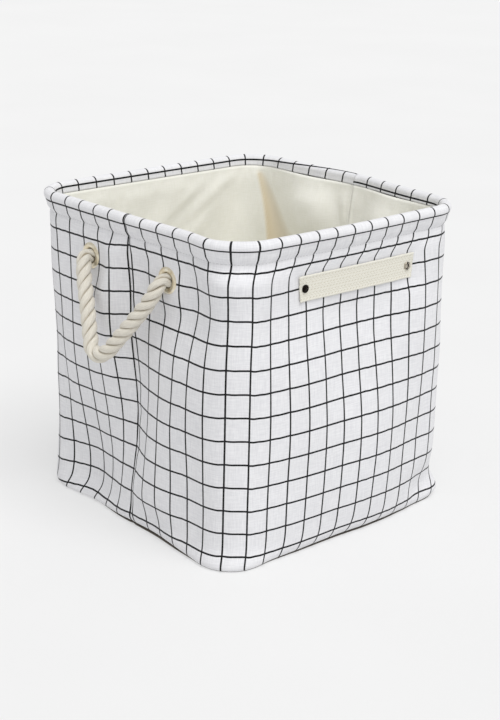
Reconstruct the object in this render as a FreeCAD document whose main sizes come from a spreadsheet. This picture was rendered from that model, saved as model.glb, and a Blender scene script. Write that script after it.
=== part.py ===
import FreeCAD, Part
import math
import os

import Sketcher

# An open-top fabric storage bin: a square bag of printed canvas with rounded corners, hung on a steel
# wire that runs inside its rolled top hem, a loose lining, two rope handles through brass eyelets and
# a riveted label tape. Millimetres, +Z up. The origin is the centre of the face it stands on, the
# label faces -Y and the rope handles are on the -X and +X sides.

DIMENSIONS = {
    "width": 330.0,  # over the two handle walls
    "depth": 330.0,  # over the front and back walls
    "height": 345.0,  # floor to the top of the rolled hem
    "corner_radius": 42.0,  # plan radius of the walls' outer face
    "canvas": 1.2,  # coated canvas of the outer shell
    "base_curve": 12.0,  # radius where a wall turns under
    "base_margin": 20.0,  # how far the wall's turned edge runs in under the bin
    "roll_radius": 6.2,  # outside of the rolled hem
    "hem_depth": 24.0,  # top of the roll down to the hem's stitch line
    "seam_gap": 0.05,  # clearance between layers that are sewn together
    "lining": 0.8,  # lining cloth
    "lining_drop": 14.0,  # top of the roll down to the lining's top edge
    "knot_dome_radius": 17.0,  # inside of the lining's bulge over a knot
    "wire_diameter": 5.0,
    "wire_gap": 0.6,  # between the wire's two ends
    "sleeve_radius": 3.6,
    "sleeve_length": 36.0,
    "rope_diameter": 15.0,
    "eyelet_half_spacing": 62.5,
    "eyelet_height": 288.0,
    "eyelet_bore_radius": 8.0,
    "eyelet_barrel_radius": 8.6,
    "eyelet_flange_radius": 14.0,
    "eyelet_flange_height": 1.5,
    "eyelet_barrel_depth": 3.0,
    "washer_radius": 12.5,
    "washer_thickness": 1.0,
    "fit_gap": 0.1,  # clearance round a barrel or a post
    "handle_axis_offset": 10.0,  # from the wall's outer face to the line the rope bends about
    "handle_lean": 16.0,  # degrees that the hanging loop stands off the wall
    "handle_gap": 0.3,  # between the loop's round end and the rope in the eyelet
    "knot_depth": 10.5,  # knot's centre, in from the wall's outer face
    "knot_half_thickness": 7.0,
    "knot_radius": 13.0,
    "label_length": 168.0,
    "label_width": 27.0,
    "label_thickness": 1.4,
    "label_corner": 1.0,
    "label_height": 287.0,  # floor to the tape's centre line
    "label_shift": 3.0,  # of the tape's middle along +X
    "rivet_inset": 9.0,  # from the tape's end
    "rivet_cap_radius": 3.75,
    "rivet_cap_height": 1.8,
    "rivet_post_radius": 1.5,
    "rivet_foot_radius": 4.5,
    "rivet_foot_thickness": 0.8,
}

# The handle's centreline below its hinge line, from the front end to the lowest fold: along Y, and
# down the loop's own plane. The other half is its mirror image.
HALF_LOOP = [(62.5, 0.0), (57.5, 18.0), (41.0, 45.0), (24.0, 70.5), (10.0, 91.0)]
ARC_SHARE = 0.45  # of the shorter run beside a corner of the route, taken up by its arc

ORIGIN = (-1, 1)  # a sketch's own origin point
X_AXIS, Y_AXIS = -1, -2  # a sketch's own axes
START, END, CENTRE = 1, 2, 3  # the points of a sketch's line or arc

doc = FreeCAD.newDocument("storage_bin")
sheet = doc.addObject("Spreadsheet::Sheet", "Dimensions")
for row, (alias, value) in enumerate(DIMENSIONS.items(), 1):
    sheet.set(f"A{row}", alias)
    sheet.set(f"B{row}", str(value))
    sheet.setAlias(f"B{row}", alias)
doc.recompute()

HALF_WIDTH = "Dimensions.width / 2"
HALF_DEPTH = "Dimensions.depth / 2"
ZERO = "0 * Dimensions.width"  # for a point that lies on an axis
PARTS = []


def size(expression):
    """The value of an expression of the sheet's cells."""
    return float(sheet.evalExpression(expression))


# ---------------------------------------------------------------- bodies, sketches and features


def new_body(name):
    body = doc.addObject("PartDesign::Body", name)
    body.Label = name
    PARTS.append(body)
    return body


def place(obj, rotation=None, **base):
    """Turns an object, then binds its position's x, y or z to expressions."""
    if rotation is not None:
        obj.Placement = FreeCAD.Placement(FreeCAD.Vector(), rotation)
    for axis, expression in base.items():
        obj.setExpression(f"Placement.Base.{axis}", expression)


def new_sketch(body, name, role):
    """A sketch on one of its body's own origin planes."""
    sketch = body.newObject("Sketcher::SketchObject", f"{body.Name}_{name}")
    plane = next(f for f in body.Origin.OriginFeatures if f.Role == role)
    sketch.AttachmentSupport = [(plane, "")]
    sketch.MapMode = "FlatFace"
    return sketch


def drive(sketch, kind, *where, by):
    """Adds a sketch dimension whose value is an expression of the sheet's cells."""
    index = sketch.addConstraint(Sketcher.Constraint(kind, *where, size(by)))
    sketch.setExpression(f"Constraints[{index}]", by)


def line(sketch, a, b):
    return sketch.addGeometry(Part.LineSegment(FreeCAD.Vector(*a), FreeCAD.Vector(*b)), False)


def circle(sketch, centre, radius):
    """A circle about a point that is given as two expressions, with its radius as a third."""
    x, y = (size(c) for c in centre)
    up = FreeCAD.Vector(0, 0, 1)
    index = sketch.addGeometry(Part.Circle(FreeCAD.Vector(x, y), up, size(radius)), False)
    drive(sketch, "Radius", index, by=radius)
    for kind, value, by in (("DistanceX", x, centre[0]), ("DistanceY", y, centre[1])):
        if abs(value) < 1e-9:
            axis = Y_AXIS if kind == "DistanceX" else X_AXIS
            sketch.addConstraint(Sketcher.Constraint("PointOnObject", index, CENTRE, axis))
        else:
            drive(sketch, kind, *ORIGIN, index, CENTRE, by=by)
    return index


def arc(sketch, centre, radius, first, last):
    """An arc that turns anticlockwise from the first angle to the last, in degrees."""
    whole = Part.Circle(FreeCAD.Vector(*centre), FreeCAD.Vector(0, 0, 1), radius)
    return sketch.addGeometry(Part.ArcOfCircle(whole, math.radians(first), math.radians(last)), False)


def join(sketch, *pairs):
    """Joins ends of lines and arcs: (piece, end, piece, end), with True after them for a smooth join."""
    for a, a_end, b, b_end, *smooth in pairs:
        kind = "Tangent" if smooth else "Coincident"
        sketch.addConstraint(Sketcher.Constraint(kind, a, a_end, b, b_end))


def straighten(sketch, kind, *lines):
    for index in lines:
        sketch.addConstraint(Sketcher.Constraint(kind, index))


def add_feature(body, kind, name, **properties):
    feature = body.newObject(f"PartDesign::{kind}", f"{body.Name}_{name}")
    for key, value in properties.items():
        setattr(feature, key, value)
    return feature


def pipe(body, profile, spine):
    feature = add_feature(body, "AdditivePipe", "pipe", Profile=profile, Spine=spine)
    feature.Transition = "Right corner"
    doc.recompute()
    return feature


def revolve(body, sketch):
    """Turns a sketch on the XZ plane about its body's Z axis."""
    feature = add_feature(body, "Revolution", "revolution", Profile=sketch)
    feature.ReferenceAxis = (sketch, ["V_Axis"])
    feature.Angle = 360
    doc.recompute()
    return feature


def cut_through(body, sketch, name):
    """A pocket both ways from its sketch, through everything, which has to take some cloth away."""
    before = body.Shape.Volume
    pocket = add_feature(body, "Pocket", name, Profile=sketch, Type="ThroughAll")
    pocket.Midplane = True
    doc.recompute()
    if body.Shape.Volume >= before:
        raise RuntimeError(f"{pocket.Name} cuts nothing")


# ---------------------------------------------------------------- outlines that the walls share


def half_plan(body, side):
    """The plan of the walls' outer face on one side of the XZ plane: side -1 is the front half, +1 the
    back half. It runs from the middle of the -X wall to the middle of the +X wall."""
    sketch = new_sketch(body, "plan", "XY_Plane")
    half, deep, radius = size(HALF_WIDTH), size(HALF_DEPTH), size("Dimensions.corner_radius")
    near, far = side * (deep - radius), side * deep
    left = line(sketch, (-half, 0), (-half, near))
    long = line(sketch, (radius - half, far), (half - radius, far))
    right = line(sketch, (half, near), (half, 0))
    if side < 0:
        first = arc(sketch, (radius - half, near), radius, 180, 270)
        second = arc(sketch, (half - radius, near), radius, 270, 360)
        ends = (START, END)
    else:
        first = arc(sketch, (radius - half, near), radius, 90, 180)
        second = arc(sketch, (half - radius, near), radius, 0, 90)
        ends = (END, START)
    join(sketch, (left, END, first, ends[0], True), (first, ends[1], long, START, True))
    join(sketch, (long, END, second, ends[0], True), (second, ends[1], right, START, True))
    straighten(sketch, "Vertical", left, right)
    straighten(sketch, "Horizontal", long)
    sketch.addConstraint(Sketcher.Constraint("PointOnObject", left, START, X_AXIS))
    sketch.addConstraint(Sketcher.Constraint("PointOnObject", right, END, X_AXIS))
    drive(sketch, "DistanceX", left, START, *ORIGIN, by=HALF_WIDTH)
    drive(sketch, "DistanceX", *ORIGIN, right, END, by=HALF_WIDTH)
    if side < 0:
        drive(sketch, "DistanceY", long, START, *ORIGIN, by=HALF_DEPTH)
    else:
        drive(sketch, "DistanceY", *ORIGIN, long, START, by=HALF_DEPTH)
    drive(sketch, "Radius", first, by="Dimensions.corner_radius")
    drive(sketch, "Radius", second, by="Dimensions.corner_radius")
    return sketch


def rounded_rectangle(body, half_x, half_y, radius):
    """A centred rounded rectangle on the XY plane, its sizes given as expressions."""
    sketch = new_sketch(body, "outline", "XY_Plane")
    x, y, r = size(half_x), size(half_y), size(radius)
    bottom = line(sketch, (r - x, -y), (x - r, -y))
    right = line(sketch, (x, r - y), (x, y - r))
    top = line(sketch, (x - r, y), (r - x, y))
    left = line(sketch, (-x, y - r), (-x, r - y))
    sides = (bottom, right, top, left)
    centres = ((x - r, r - y), (x - r, y - r), (r - x, y - r), (r - x, r - y))
    for turn, centre in enumerate(centres):
        corner = arc(sketch, centre, r, 90 * turn - 90, 90 * turn)
        following = sides[(turn + 1) % len(sides)]
        join(sketch, (sides[turn], END, corner, START, True), (corner, END, following, START, True))
        drive(sketch, "Radius", corner, by=radius)
    straighten(sketch, "Horizontal", bottom, top)
    straighten(sketch, "Vertical", left, right)
    drive(sketch, "DistanceX", *ORIGIN, right, START, by=half_x)
    drive(sketch, "DistanceX", left, START, *ORIGIN, by=half_x)
    drive(sketch, "DistanceY", *ORIGIN, top, START, by=half_y)
    drive(sketch, "DistanceY", bottom, START, *ORIGIN, by=half_y)
    return sketch


# ---------------------------------------------------------------- outer shell


def shell_profile(body):
    """The section of a wall at the middle of the -X side: the turned-under foot, the wall, the doubled
    hem and the roll at the top with the wire's bore in it."""
    sketch = new_sketch(body, "profile", "XZ_Plane")
    out = -size(HALF_WIDTH)
    cloth, foot = size("Dimensions.canvas"), size("Dimensions.base_curve")
    top, roll = size("Dimensions.height"), size("Dimensions.roll_radius")
    hem, inner = top - size("Dimensions.hem_depth"), out + size("Dimensions.base_margin")
    roll_z, drop = top - roll, math.sqrt(roll**2 - cloth**2)
    tilt = math.degrees(math.asin(cloth / roll))

    face = line(sketch, (out, foot), (out, roll_z - drop))
    over = arc(sketch, (out + cloth, roll_z), roll, tilt - 90, 270 - tilt)
    hem_face = line(sketch, (out + 2 * cloth, roll_z - drop), (out + 2 * cloth, hem))
    hem_edge = line(sketch, (out + 2 * cloth, hem), (out + cloth, hem))
    back = line(sketch, (out + cloth, hem), (out + cloth, foot))
    inner_turn = arc(sketch, (out + foot, foot), foot - cloth, 180, 270)
    foot_top = line(sketch, (out + foot, cloth), (inner, cloth))
    foot_end = line(sketch, (inner, cloth), (inner, 0))
    foot_face = line(sketch, (inner, 0), (out + foot, 0))
    outer_turn = arc(sketch, (out + foot, foot), foot, 180, 270)

    join(sketch, (face, END, over, END), (over, START, hem_face, START), (hem_face, END, hem_edge, START))
    join(sketch, (hem_edge, END, back, START), (back, END, inner_turn, START, True))
    join(sketch, (inner_turn, END, foot_top, START, True), (foot_top, END, foot_end, START))
    join(sketch, (foot_end, END, foot_face, START), (foot_face, END, outer_turn, END, True))
    join(sketch, (outer_turn, START, face, START, True))
    straighten(sketch, "Vertical", face, hem_face, back, foot_end)
    straighten(sketch, "Horizontal", hem_edge, foot_top, foot_face)
    sketch.addConstraint(Sketcher.Constraint("PointOnObject", foot_face, START, X_AXIS))
    drive(sketch, "DistanceX", face, START, *ORIGIN, by=HALF_WIDTH)
    drive(sketch, "DistanceX", back, END, *ORIGIN, by=f"{HALF_WIDTH} - Dimensions.canvas")
    drive(sketch, "DistanceX", hem_face, END, *ORIGIN, by=f"{HALF_WIDTH} - 2 * Dimensions.canvas")
    drive(sketch, "DistanceX", foot_end, END, *ORIGIN, by=f"{HALF_WIDTH} - Dimensions.base_margin")
    drive(sketch, "DistanceY", foot_end, END, foot_end, START, by="Dimensions.canvas")
    drive(sketch, "DistanceY", *ORIGIN, hem_edge, END, by="Dimensions.height - Dimensions.hem_depth")
    drive(sketch, "Radius", outer_turn, by="Dimensions.base_curve")
    drive(sketch, "Radius", inner_turn, by="Dimensions.base_curve - Dimensions.canvas")
    drive(sketch, "Radius", over, by="Dimensions.roll_radius")
    drive(sketch, "DistanceX", over, CENTRE, *ORIGIN, by=f"{HALF_WIDTH} - Dimensions.canvas")
    drive(sketch, "DistanceY", *ORIGIN, over, CENTRE, by="Dimensions.height - Dimensions.roll_radius")

    bore = size("Dimensions.wire_diameter / 2 + Dimensions.seam_gap")
    around = Part.Circle(FreeCAD.Vector(out + cloth, roll_z), FreeCAD.Vector(0, 0, 1), bore)
    hole = sketch.addGeometry(around, False)
    join(sketch, (hole, CENTRE, over, CENTRE))
    drive(sketch, "Radius", hole, by="Dimensions.wire_diameter / 2 + Dimensions.seam_gap")
    return sketch


def sleeve_room(body):
    """The wider stretch of the wire's bore that holds the joining sleeve, in the middle of the +X side."""
    room = add_feature(body, "SubtractiveCylinder", "sleeve_room")
    room.setExpression("Radius", "Dimensions.sleeve_radius + Dimensions.seam_gap")
    room.setExpression("Height", "Dimensions.sleeve_length + 2 * Dimensions.seam_gap")
    turn = FreeCAD.Rotation(FreeCAD.Vector(1, 0, 0), -90)
    room.AttachmentOffset = FreeCAD.Placement(FreeCAD.Vector(), turn)
    room.setExpression("AttachmentOffset.Base.x", f"{HALF_WIDTH} - Dimensions.canvas")
    room.setExpression("AttachmentOffset.Base.y", "-Dimensions.sleeve_length / 2 - Dimensions.seam_gap")
    room.setExpression("AttachmentOffset.Base.z", "Dimensions.height - Dimensions.roll_radius")
    plane = next(f for f in body.Origin.OriginFeatures if f.Role == "XY_Plane")
    room.AttachmentSupport = [(plane, "")]
    room.MapMode = "FlatFace"
    doc.recompute()


def eyelet_holes(body, side):
    """One hole through each handle wall, for the eyelets on this side of the XZ plane."""
    sketch = new_sketch(body, "eyelet_holes", "YZ_Plane")
    radius = "Dimensions.eyelet_barrel_radius + Dimensions.fit_gap"
    circle(sketch, (f"{side} * Dimensions.eyelet_half_spacing", "Dimensions.eyelet_height"), radius)
    cut_through(body, sketch, "eyelet_pocket")


def rivet_x(end):
    """Where a label rivet is along X: end is -1 for the tape's -X end and 1 for its +X end."""
    return f"Dimensions.label_shift + {end} * (Dimensions.label_length / 2 - Dimensions.rivet_inset)"


def rivet_holes(body, height, name):
    """Two holes along Y for the label's rivets, at a height given as an expression."""
    sketch = new_sketch(body, name, "XZ_Plane")
    for end in (-1, 1):
        circle(sketch, (rivet_x(end), height), "Dimensions.rivet_post_radius + Dimensions.fit_gap")
    cut_through(body, sketch, f"{name}_pocket")


def outer_wall(name, side):
    body = new_body(name)
    pipe(body, shell_profile(body), half_plan(body, side))
    sleeve_room(body)
    eyelet_holes(body, side)
    if side < 0:
        rivet_holes(body, "Dimensions.label_height", "rivet_holes")


def flat_base(name, thickness, level):
    """A flat floor panel inside the walls' turned-under edge, its bottom at the given level."""
    body = new_body(name)
    margin = "Dimensions.base_margin - Dimensions.seam_gap"
    outline = rounded_rectangle(
        body,
        f"{HALF_WIDTH} - {margin}",
        f"{HALF_DEPTH} - {margin}",
        f"Dimensions.corner_radius - {margin}",
    )
    pad = add_feature(body, "Pad", "pad", Profile=outline)
    pad.setExpression("Length", thickness)
    place(body, z=level)


# ---------------------------------------------------------------- lining


def lining_profile(body):
    """The section of the lining at the middle of the -X side: it hangs from the hem's inner face and
    turns in over the base."""
    sketch = new_sketch(body, "profile", "XZ_Plane")
    off_wall = "2 * Dimensions.canvas + Dimensions.seam_gap"
    off_floor = "Dimensions.canvas + Dimensions.seam_gap"
    turn = "Dimensions.base_curve - 2 * Dimensions.canvas - Dimensions.seam_gap"
    face_x = size(off_wall) - size(HALF_WIDTH)
    cloth, floor, radius = size("Dimensions.lining"), size(off_floor), size(turn)
    top = size("Dimensions.height - Dimensions.lining_drop")
    inner = size("Dimensions.base_margin") - size(HALF_WIDTH)

    face = line(sketch, (face_x, floor + radius), (face_x, top))
    edge = line(sketch, (face_x, top), (face_x + cloth, top))
    back = line(sketch, (face_x + cloth, top), (face_x + cloth, floor + radius))
    inner_turn = arc(sketch, (face_x + radius, floor + radius), radius - cloth, 180, 270)
    foot_top = line(sketch, (face_x + radius, floor + cloth), (inner, floor + cloth))
    foot_end = line(sketch, (inner, floor + cloth), (inner, floor))
    foot_face = line(sketch, (inner, floor), (face_x + radius, floor))
    outer_turn = arc(sketch, (face_x + radius, floor + radius), radius, 180, 270)

    join(sketch, (face, END, edge, START), (edge, END, back, START), (back, END, inner_turn, START, True))
    join(sketch, (inner_turn, END, foot_top, START, True), (foot_top, END, foot_end, START))
    join(sketch, (foot_end, END, foot_face, START), (foot_face, END, outer_turn, END, True))
    join(sketch, (outer_turn, START, face, START, True))
    straighten(sketch, "Vertical", face, back, foot_end)
    straighten(sketch, "Horizontal", edge, foot_top, foot_face)
    drive(sketch, "DistanceX", face, START, *ORIGIN, by=f"{HALF_WIDTH} - ({off_wall})")
    drive(sketch, "DistanceX", edge, START, edge, END, by="Dimensions.lining")
    drive(sketch, "DistanceY", *ORIGIN, edge, START, by="Dimensions.height - Dimensions.lining_drop")
    drive(sketch, "DistanceY", *ORIGIN, foot_end, END, by=off_floor)
    drive(sketch, "DistanceY", foot_end, END, foot_end, START, by="Dimensions.lining")
    drive(sketch, "DistanceX", foot_end, END, *ORIGIN, by=f"{HALF_WIDTH} - Dimensions.base_margin")
    drive(sketch, "Radius", outer_turn, by=turn)
    drive(sketch, "Radius", inner_turn, by=f"{turn} - Dimensions.lining")
    return sketch


def knot_dome(body, kind, name, end, side, radius):
    """Half a ball on the lining's outer face, domed towards the middle of the bin."""
    dome = add_feature(body, kind, f"{name}_{'left' if end < 0 else 'right'}")
    dome.Angle1 = 0
    dome.setExpression("Radius", radius)
    inward = FreeCAD.Rotation(FreeCAD.Vector(0, 0, 1), FreeCAD.Vector(-end, 0, 0))
    dome.AttachmentOffset = FreeCAD.Placement(FreeCAD.Vector(), inward)
    wall = f"{HALF_WIDTH} - 2 * Dimensions.canvas - Dimensions.seam_gap"
    dome.setExpression("AttachmentOffset.Base.x", f"{end} * ({wall})")
    dome.setExpression("AttachmentOffset.Base.y", f"{side} * Dimensions.eyelet_half_spacing")
    dome.setExpression("AttachmentOffset.Base.z", "Dimensions.eyelet_height")
    plane = next(f for f in body.Origin.OriginFeatures if f.Role == "XY_Plane")
    dome.AttachmentSupport = [(plane, "")]
    dome.MapMode = "FlatFace"
    doc.recompute()


def lining_wall(name, side):
    body = new_body(name)
    pipe(body, lining_profile(body), half_plan(body, side))
    inside = "Dimensions.knot_dome_radius"
    for end in (-1, 1):
        knot_dome(body, "AdditiveSphere", "bulge", end, side, f"{inside} + Dimensions.lining")
        knot_dome(body, "SubtractiveSphere", "hollow", end, side, inside)


# ---------------------------------------------------------------- rim wire


def rim_wire():
    """One length of wire bent to the hem's plan, its ends meeting in the middle of the +X side."""
    body = new_body("rim_wire")
    plan = new_sketch(body, "plan", "XY_Plane")
    x_half, y_half = f"{HALF_WIDTH} - Dimensions.canvas", f"{HALF_DEPTH} - Dimensions.canvas"
    bend = "Dimensions.corner_radius - Dimensions.canvas"
    x, y, r, gap = size(x_half), size(y_half), size(bend), size("Dimensions.wire_gap")
    first = line(plan, (x, 0), (x, r - y))
    front = line(plan, (x - r, -y), (r - x, -y))
    left = line(plan, (-x, r - y), (-x, y - r))
    back = line(plan, (r - x, y), (x - r, y))
    last = line(plan, (x, y - r), (x, gap))
    runs = (first, front, left, back, last)
    for turn, centre in enumerate(((x - r, r - y), (r - x, r - y), (r - x, y - r), (x - r, y - r))):
        corner = arc(plan, centre, r, 270 - 90 * turn, 360 - 90 * turn)
        join(plan, (runs[turn], END, corner, END, True), (corner, START, runs[turn + 1], START, True))
        drive(plan, "Radius", corner, by=bend)
    straighten(plan, "Vertical", first, left, last)
    straighten(plan, "Horizontal", front, back)
    plan.addConstraint(Sketcher.Constraint("PointOnObject", first, START, X_AXIS))
    drive(plan, "DistanceX", *ORIGIN, first, START, by=x_half)
    drive(plan, "DistanceX", left, START, *ORIGIN, by=x_half)
    drive(plan, "DistanceX", *ORIGIN, last, START, by=x_half)
    drive(plan, "DistanceY", front, START, *ORIGIN, by=y_half)
    drive(plan, "DistanceY", *ORIGIN, back, START, by=y_half)
    drive(plan, "DistanceY", *ORIGIN, last, END, by="Dimensions.wire_gap")
    section = new_sketch(body, "section", "XZ_Plane")
    circle(section, (x_half, ZERO), "Dimensions.wire_diameter / 2")
    pipe(body, section, plan)
    place(body, z="Dimensions.height - Dimensions.roll_radius")


def rim_wire_sleeve():
    """A crimped tube over the wire's two ends."""
    body = new_body("rim_wire_sleeve")
    section = new_sketch(body, "section", "XZ_Plane")
    middle = (ZERO, ZERO)
    circle(section, middle, "Dimensions.sleeve_radius")
    circle(section, middle, "Dimensions.wire_diameter / 2 + Dimensions.seam_gap / 2")
    pad = add_feature(body, "Pad", "pad", Profile=section, Midplane=True)
    pad.setExpression("Length", "Dimensions.sleeve_length")
    place(body, x=f"{HALF_WIDTH} - Dimensions.canvas", z="Dimensions.height - Dimensions.roll_radius")


# ---------------------------------------------------------------- rope handles and their eyelets


def on_handle_wall(body, end, side):
    """Places a body whose Z axis points out of a handle wall, at an eyelet's centre."""
    outward = FreeCAD.Rotation(FreeCAD.Vector(0, 0, 1), FreeCAD.Vector(end, 0, 0))
    y = f"{side} * Dimensions.eyelet_half_spacing"
    place(body, outward, x=f"{end} * {HALF_WIDTH}", y=y, z="Dimensions.eyelet_height")


def eyelet(name, end, side):
    """A stamped eyelet: a domed flange on the cloth's face and a barrel through the wall."""
    body = new_body(name)
    sketch = new_sketch(body, "profile", "XZ_Plane")
    bore, flange = size("Dimensions.eyelet_bore_radius"), size("Dimensions.eyelet_flange_radius")
    barrel, rise = size("Dimensions.eyelet_barrel_radius"), size("Dimensions.eyelet_flange_height")
    depth, half = size("Dimensions.eyelet_barrel_depth"), (flange - bore) / 2
    dome = (half**2 + rise**2) / (2 * rise)
    rim_angle = math.degrees(math.asin((dome - rise) / dome))
    over = arc(sketch, (bore + half, rise - dome), dome, rim_angle, 180 - rim_angle)
    inside = line(sketch, (bore, 0), (bore, -depth))
    lip = line(sketch, (bore, -depth), (barrel, -depth))
    outside = line(sketch, (barrel, -depth), (barrel, 0))
    seat = line(sketch, (barrel, 0), (flange, 0))
    join(sketch, (over, END, inside, START), (inside, END, lip, START), (lip, END, outside, START))
    join(sketch, (outside, END, seat, START), (seat, END, over, START))
    straighten(sketch, "Vertical", inside, outside)
    straighten(sketch, "Horizontal", lip)
    for index, point in ((inside, START), (seat, START), (seat, END)):
        sketch.addConstraint(Sketcher.Constraint("PointOnObject", index, point, X_AXIS))
    drive(sketch, "DistanceX", *ORIGIN, inside, START, by="Dimensions.eyelet_bore_radius")
    drive(sketch, "DistanceX", *ORIGIN, seat, START, by="Dimensions.eyelet_barrel_radius")
    drive(sketch, "DistanceX", *ORIGIN, seat, END, by="Dimensions.eyelet_flange_radius")
    drive(sketch, "DistanceY", lip, START, *ORIGIN, by="Dimensions.eyelet_barrel_depth")
    half_flange = "((Dimensions.eyelet_flange_radius - Dimensions.eyelet_bore_radius) / 2)"
    high = "Dimensions.eyelet_flange_height"
    drive(sketch, "Radius", over, by=f"({half_flange} ^ 2 + {high} ^ 2) / (2 * {high})")
    revolve(body, sketch)
    on_handle_wall(body, end, side)


def eyelet_washer(name, end, side):
    """The flat ring inside the shell that the barrel is set against."""
    body = new_body(name)
    sketch = new_sketch(body, "section", "XY_Plane")
    middle = (ZERO, ZERO)
    circle(sketch, middle, "Dimensions.washer_radius")
    circle(sketch, middle, "Dimensions.eyelet_barrel_radius + Dimensions.fit_gap / 2")
    pad = add_feature(body, "Pad", "pad", Profile=sketch)
    pad.setExpression("Length", "Dimensions.washer_thickness")
    on_handle_wall(body, end, side)
    inward = "Dimensions.canvas + Dimensions.seam_gap + Dimensions.washer_thickness"
    body.setExpression("Placement.Base.x", f"{end} * ({HALF_WIDTH} - ({inward}))")


def primitive_on_axis(body, kind, name, level, **sizes):
    """A primitive on the body's Z axis, moved up it by an expression, its sizes given as expressions."""
    feature = add_feature(body, kind, name)
    for key, by in sizes.items():
        feature.setExpression(key, by)
    plane = next(f for f in body.Origin.OriginFeatures if f.Role == "XY_Plane")
    feature.AttachmentSupport = [(plane, "")]
    feature.MapMode = "FlatFace"
    feature.setExpression("AttachmentOffset.Base.z", level)
    doc.recompute()
    return feature


def rope_end(name, end, side):
    """The end of a handle's rope: straight through the eyelet, with its knot behind the wall."""
    body = new_body(name)
    tip = "Dimensions.handle_axis_offset - Dimensions.rope_diameter / 2 - Dimensions.handle_gap"
    primitive_on_axis(
        body,
        "AdditiveCylinder",
        "rope",
        "-Dimensions.knot_depth",
        Radius="Dimensions.rope_diameter / 2",
        Height=f"Dimensions.knot_depth + {tip}",
    )
    primitive_on_axis(
        body,
        "AdditiveEllipsoid",
        "knot",
        "-Dimensions.knot_depth",
        Radius1="Dimensions.knot_half_thickness",
        Radius2="Dimensions.knot_radius",
        Radius3="Dimensions.knot_radius",
    )
    on_handle_wall(body, end, side)


def rounded_route(points):
    """A route's straight runs and the tangent arcs that join them, and the arcs' radii."""
    points = [FreeCAD.Vector(*p) for p in points]
    edges, radii, start = [], [], points[0]
    for before, corner, after in zip(points, points[1:], points[2:]):
        back, ahead = before - corner, after - corner
        half_turn = (math.pi - back.getAngle(ahead)) / 2
        trim = ARC_SHARE * min(back.Length, ahead.Length)
        radii.append(trim / math.tan(half_turn))
        into = corner + back.normalize() * trim
        out = corner + ahead.normalize() * trim
        bisector = (back + ahead).normalize()
        middle = corner + bisector * radii[-1] * (1 / math.cos(half_turn) - 1)
        edges += [Part.LineSegment(start, into), Part.ArcOfCircle(into, middle, out)]
        start = out
    return edges + [Part.LineSegment(start, points[-1])], radii


def rope_handle(name, end):
    """A handle's free loop, in its own plane below the hinge line, with a ball at each end of the rope
    that is centred on that line. Local X is along the hinge line, and local Y up the loop."""
    body = new_body(name)
    half = [(y, -down) for y, down in HALF_LOOP]
    edges, radii = rounded_route(half + [(-y, down) for y, down in reversed(half)])
    route = new_sketch(body, "route", "XY_Plane")
    for edge in edges:
        route.addConstraint(Sketcher.Constraint("Block", route.addGeometry(edge, False)))
    section = body.newObject("Sketcher::SketchObject", f"{body.Name}_section")
    section.AttachmentSupport = [(route, "Edge1")]
    section.MapMode = "NormalToEdge"
    circle(section, (ZERO, ZERO), "Dimensions.rope_diameter / 2")
    tube = pipe(body, section, route)
    length = sum(edge.toShape().Length for edge in edges)
    full = length * math.pi * size("Dimensions.rope_diameter / 2") ** 2
    rounded = [round(radius, 1) for radius in radii]
    print(f"{name}: {length:.1f} mm, radii {rounded}, volume {tube.Shape.Volume / full:.4f}")
    for sign, side in ((-1, "front"), (1, "back")):
        ball = primitive_on_axis(
            body, "AdditiveSphere", f"{side}_ball", ZERO, Radius="Dimensions.rope_diameter / 2"
        )
        ball.setExpression("AttachmentOffset.Base.x", f"{sign} * Dimensions.eyelet_half_spacing")
        doc.recompute()
    lean = math.radians(size("Dimensions.handle_lean"))
    up_the_loop = FreeCAD.Vector(-end * math.sin(lean), 0, math.cos(lean))
    along = FreeCAD.Vector(0, 1, 0)
    turn = FreeCAD.Rotation(along, up_the_loop, along.cross(up_the_loop), "ZXY")
    hinge_x = f"{end} * ({HALF_WIDTH} + Dimensions.handle_axis_offset)"
    place(body, turn, x=hinge_x, z="Dimensions.eyelet_height")


# ---------------------------------------------------------------- label tape and its rivets


def on_front_wall(body, x, out, z):
    """Places a body whose Z axis points out of the front wall, so far out of the wall's face."""
    forward = FreeCAD.Rotation(FreeCAD.Vector(1, 0, 0), 90)
    place(body, forward, x=x, y=f"-({HALF_DEPTH} + {out})", z=z)


def label_tape():
    body = new_body("label_tape")
    outline = rounded_rectangle(
        body, "Dimensions.label_length / 2", "Dimensions.label_width / 2", "Dimensions.label_corner"
    )
    pad = add_feature(body, "Pad", "pad", Profile=outline)
    pad.setExpression("Length", "Dimensions.label_thickness")
    doc.recompute()
    holes = new_sketch(body, "rivet_holes", "XY_Plane")
    for end in (-1, 1):
        x = f"{end} * (Dimensions.label_length / 2 - Dimensions.rivet_inset)"
        centre = (x, ZERO)
        circle(holes, centre, "Dimensions.rivet_post_radius + Dimensions.fit_gap")
    cut_through(body, holes, "rivet_pocket")
    on_front_wall(body, "Dimensions.label_shift", ZERO, "Dimensions.label_height")


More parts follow.
